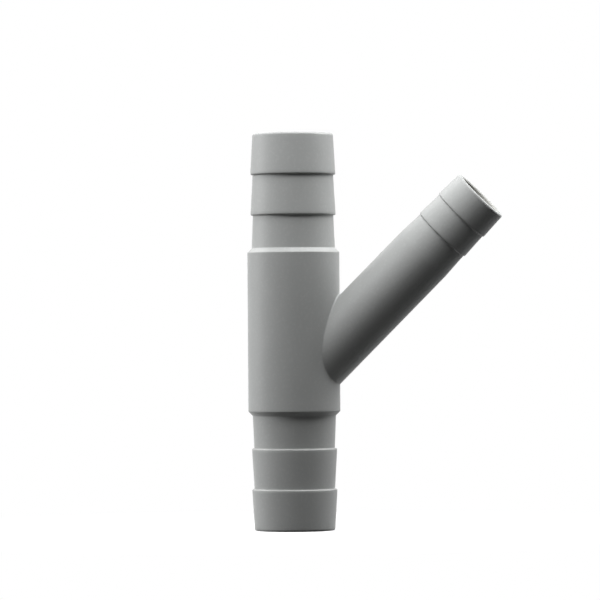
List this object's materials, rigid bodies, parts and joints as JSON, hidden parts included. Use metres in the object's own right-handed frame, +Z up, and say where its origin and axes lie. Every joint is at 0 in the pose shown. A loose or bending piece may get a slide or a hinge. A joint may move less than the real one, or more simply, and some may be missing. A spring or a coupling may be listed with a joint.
{
  "type": "tubing y connector",
  "caption": "One-piece plastic Y connector that splits a flexible tube: a straight barbed run with a plain collar and a smaller barbed branch at 45 degrees.",
  "frame": {"origin": "centre of the lower end face of the run, on the axis of its bore", "axes": "+Z up the run, +X towards the side that the branch leans to, so the branch lies in the XZ plane"},
  "size_m": [0.0645, 0.0232, 0.1],
  "materials": {
    "grey_plastic": "satin, fine moulded texture"
  },
  "bodies": {
    "root": {"connector_body": "grey_plastic"}
  },
  "joints": []
}
